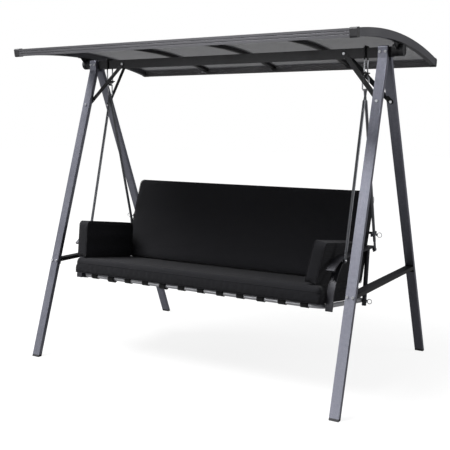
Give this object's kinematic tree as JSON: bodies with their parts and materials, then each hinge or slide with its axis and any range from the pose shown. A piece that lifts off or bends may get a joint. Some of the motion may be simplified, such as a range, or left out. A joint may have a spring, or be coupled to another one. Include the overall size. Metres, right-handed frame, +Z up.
{
  "type": "canopy swing bench",
  "caption": "Garden swing bench: cushioned seat with a reclining back, hung by rods from an A-frame stand under a tilting curved roof.",
  "frame": {"origin": "middle of the whole outline at floor level", "axes": "+X to the right of someone facing the bench, +Y to the rear, +Z up"},
  "size_m": [2.0932, 1.391, 1.836],
  "materials": {
    "leg paint": "satin metallic powder coat",
    "foot plastic": "matt moulded plastic",
    "dark paint": "satin powder coat",
    "zinc steel": "zinc plated",
    "sleeved wire": "zinc plated wire in a black sleeve",
    "rod paint": "satin metallic powder coat",
    "armrest paint": "satin powder coat",
    "seat tube paint": "satin metallic powder coat",
    "back tube paint": "satin powder coat",
    "webbing": "flat woven webbing",
    "cushion cloth": "woven polyester over foam",
    "knob plastic": "matt moulded plastic",
    "corner plastic": "satin moulded plastic",
    "roof aluminium": "satin coated extrusion",
    "roof dark aluminium": "satin coated extrusion",
    "roof sheet": "tinted translucent sheet"
  },
  "bodies": {
    "stand": {"front_leg_left": "leg paint", "front_leg_right": "leg paint", "rear_leg_left": "leg paint", "rear_leg_right": "leg paint", "foot_caps": "foot plastic", "side_brace_left": "dark paint", "side_brace_right": "dark paint", "top_beam": "dark paint", "beam_hubs": "dark paint", "diagonal_brace_front_left": "dark paint", "diagonal_brace_front_right": "dark paint", "diagonal_brace_rear_left": "dark paint", "diagonal_brace_rear_right": "dark paint", "leg_top_bolts": "zinc steel", "diagonal_brace_bolts": "zinc steel", "side_brace_bolts": "zinc steel", "stirrups": "sleeved wire", "stirrup_tabs": "dark paint"},
    "links": {"swing_links": "zinc steel"},
    "seat": {"hanger_rod_front_left": "rod paint", "hanger_rod_front_right": "rod paint", "hanger_rod_rear_left": "rod paint", "hanger_rod_rear_right": "rod paint", "armrest_left": "armrest paint", "armrest_right": "armrest paint", "front_posts": "armrest paint", "rear_struts": "armrest paint", "armrest_bolts": "zinc steel", "seat_front_rail": "seat tube paint", "seat_rear_rail": "seat tube paint", "seat_side_tube_left": "seat tube paint", "seat_side_tube_right": "seat tube paint", "seat_middle_bar": "seat tube paint", "seat_straps": "webbing", "back_pivot_pins": "zinc steel", "seat_cushion": "cushion cloth", "arm_pad_left": "cushion cloth", "arm_pad_right": "cushion cloth"},
    "back": {"back_top_rail": "back tube paint", "back_bottom_rail": "back tube paint", "back_side_tube_left": "back tube paint", "back_side_tube_right": "back tube paint", "back_straps": "webbing", "back_cushion": "cushion cloth"},
    "left lock pin": {"lock_pin_left": "zinc steel"},
    "right lock pin": {"lock_pin_right": "zinc steel"},
    "canopy": {"canopy_front_rail": "roof aluminium", "canopy_rear_rail": "roof dark aluminium", "canopy_arch_left": "roof aluminium", "canopy_arch_right": "roof aluminium", "canopy_ribs": "roof dark aluminium", "roof_panel_1": "roof sheet", "roof_panel_2": "roof sheet", "roof_panel_3": "roof sheet", "roof_panel_4": "roof sheet", "rail_end_caps": "corner plastic", "canopy_bracket_left": "dark paint", "canopy_bracket_right": "dark paint"},
    "left knob": {"tilt_knob_left": "knob plastic"},
    "right knob": {"tilt_knob_right": "knob plastic"}
  },
  "joints": [
    {"name": "link swing", "type": "hinge", "parent": "stand", "child": "links", "pos_m": [0, -0.07525, 1.632], "axis": [1, 0, 0], "range_deg": [-20, 20]},
    {"name": "seat swing", "type": "hinge", "parent": "links", "child": "seat", "pos_m": [0, -0.07525, 1.558], "axis": [1, 0, 0], "range_deg": [-12, 12]},
    {"name": "back recline", "type": "hinge", "parent": "seat", "child": "back", "pos_m": [0, 0.08975, 0.4102], "axis": [-1, 0, 0], "range_deg": [0, 65]},
    {"name": "left lock pin pull", "type": "slide", "parent": "seat", "child": "left lock pin", "axis": [-1, 0, 0], "range_m": [0, 0.012], "stiffness_N_per_m": 500, "springref_m": -0.002},
    {"name": "right lock pin pull", "type": "slide", "parent": "seat", "child": "right lock pin", "axis": [1, 0, 0], "range_m": [0, 0.012], "stiffness_N_per_m": 500, "springref_m": -0.002},
    {"name": "canopy tilt", "type": "hinge", "parent": "stand", "child": "canopy", "pos_m": [0, -0.07525, 1.758], "axis": [1, 0, 0], "range_deg": [-15, 15]},
    {"name": "left knob turn", "type": "hinge", "parent": "stand", "child": "left knob", "pos_m": [-1.034, -0.07525, 1.758], "axis": [-1, 0, 0], "continuous": true},
    {"name": "right knob turn", "type": "hinge", "parent": "stand", "child": "right knob", "pos_m": [1.034, -0.07525, 1.758], "axis": [1, 0, 0], "continuous": true}
  ]
}
